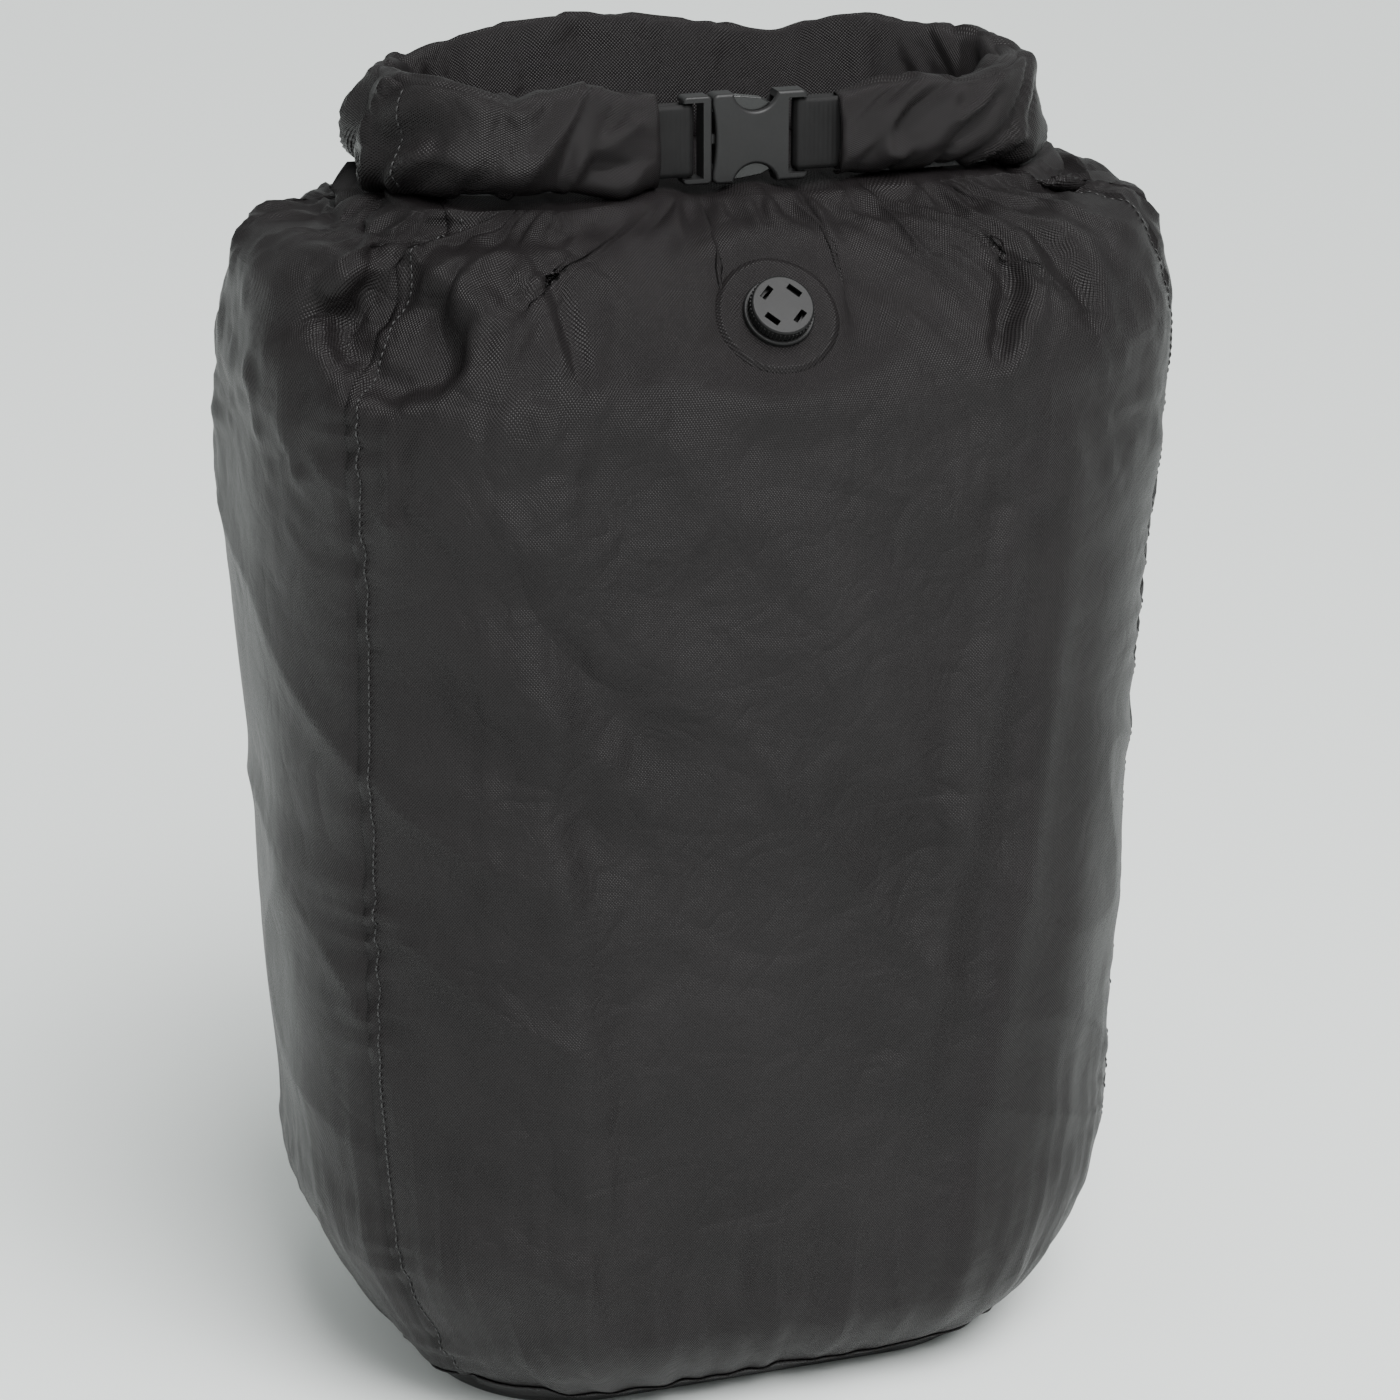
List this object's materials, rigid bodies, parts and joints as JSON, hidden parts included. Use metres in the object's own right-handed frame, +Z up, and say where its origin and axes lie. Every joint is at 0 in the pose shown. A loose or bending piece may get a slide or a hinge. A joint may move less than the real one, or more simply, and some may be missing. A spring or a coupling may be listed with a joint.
{
  "type": "compression sack",
  "caption": "Roll-top soft sack with a stiffened mouth rolled and bent into a carry loop, a side-release buckle and a twist-open air valve.",
  "frame": {"origin": "middle of the base panel's underside, on the surface it stands on", "axes": "+Z up; -Y is the front, with the valve and the buckle; +X is to the right seen from the front"},
  "size_m": [0.34, 0.226, 0.4913],
  "materials": {
    "sack_cloth": "coated taffeta, satin",
    "roll_cloth": "coated taffeta, satin",
    "seam_tape": "milky sealing film",
    "hem_binding": "woven",
    "stiffener_strip": "flexible sheet",
    "webbing": "ribbed nylon",
    "buckle_plastic": "fine moulded texture",
    "prong_plastic": "semi-gloss moulded",
    "valve_plastic": "fine moulded texture",
    "valve_rubber": "soft silicone",
    "stitch_thread": "twisted polyester"
  },
  "bodies": {
    "sack": {"front_panel": "sack_cloth", "back_panel": "sack_cloth", "left_gusset": "sack_cloth", "right_gusset": "sack_cloth", "base_panel": "sack_cloth", "base_seam_tape": "seam_tape", "front_left_seam_tape": "seam_tape", "front_right_seam_tape": "seam_tape", "rear_left_seam_tape": "seam_tape", "rear_right_seam_tape": "seam_tape"},
    "top": {"rolled_mouth": "roll_cloth", "mouth_hem": "hem_binding", "mouth_stiffener": "stiffener_strip", "left_webbing_tab": "webbing", "right_webbing_tab": "webbing", "buckle_socket": "buckle_plastic"},
    "plug": {"buckle_plug": "buckle_plastic"},
    "upper_prong": {"upper_prong": "prong_plastic"},
    "lower_prong": {"lower_prong": "prong_plastic"},
    "valve_base": {"valve_body": "valve_plastic", "valve_collar": "valve_plastic", "valve_membrane": "valve_rubber", "valve_seal": "valve_rubber"},
    "presser": {"valve_presser": "valve_plastic"},
    "cap": {"valve_cap": "valve_plastic"}
  },
  "joints": [
    {"name": "sack_compress", "type": "slide", "parent": "sack", "child": "top", "axis": [0, 0, -1], "range_m": [0, 0.12], "deforming": ["front_panel", "back_panel", "left_gusset", "right_gusset", "front_left_seam_tape", "front_right_seam_tape", "rear_left_seam_tape", "rear_right_seam_tape"]},
    {"name": "valve_ride", "type": "slide", "parent": "sack", "child": "valve_base", "axis": [0, 0, -1], "range_m": [0, 0.11309]},
    {"name": "valve_lift", "type": "slide", "parent": "valve_base", "child": "presser", "axis": [0, -0.766, 0.6428], "range_m": [0, 0.00121]},
    {"name": "valve_twist", "type": "hinge", "parent": "presser", "child": "cap", "pos_m": [0, -0.098, 0.419], "axis": [0, -0.766, 0.6428], "range_deg": [0, 90]},
    {"name": "plug_pull", "type": "slide", "parent": "top", "child": "plug", "axis": [-1, 0, 0], "range_m": [0, 0.023], "deforming": ["upper_prong", "lower_prong", "left_webbing_tab"]},
    {"name": "upper_prong_press", "type": "hinge", "parent": "plug", "child": "upper_prong", "pos_m": [-0.0046, -0.042, 0.4785], "axis": [0, 1, 0], "range_deg": [0, 12], "stiffness_Nm_per_rad": 0.6},
    {"name": "lower_prong_press", "type": "hinge", "parent": "plug", "child": "lower_prong", "pos_m": [-0.0046, -0.042, 0.4581], "axis": [0, -1, 0], "range_deg": [0, 12], "stiffness_Nm_per_rad": 0.6}
  ],
  "couplings": [
    {"joint": "valve_ride", "follows": "sack_compress", "ratio": 0.94157},
    {"joint": "valve_lift", "follows": "valve_twist", "m_per_rad": 0.00076394}
  ]
}
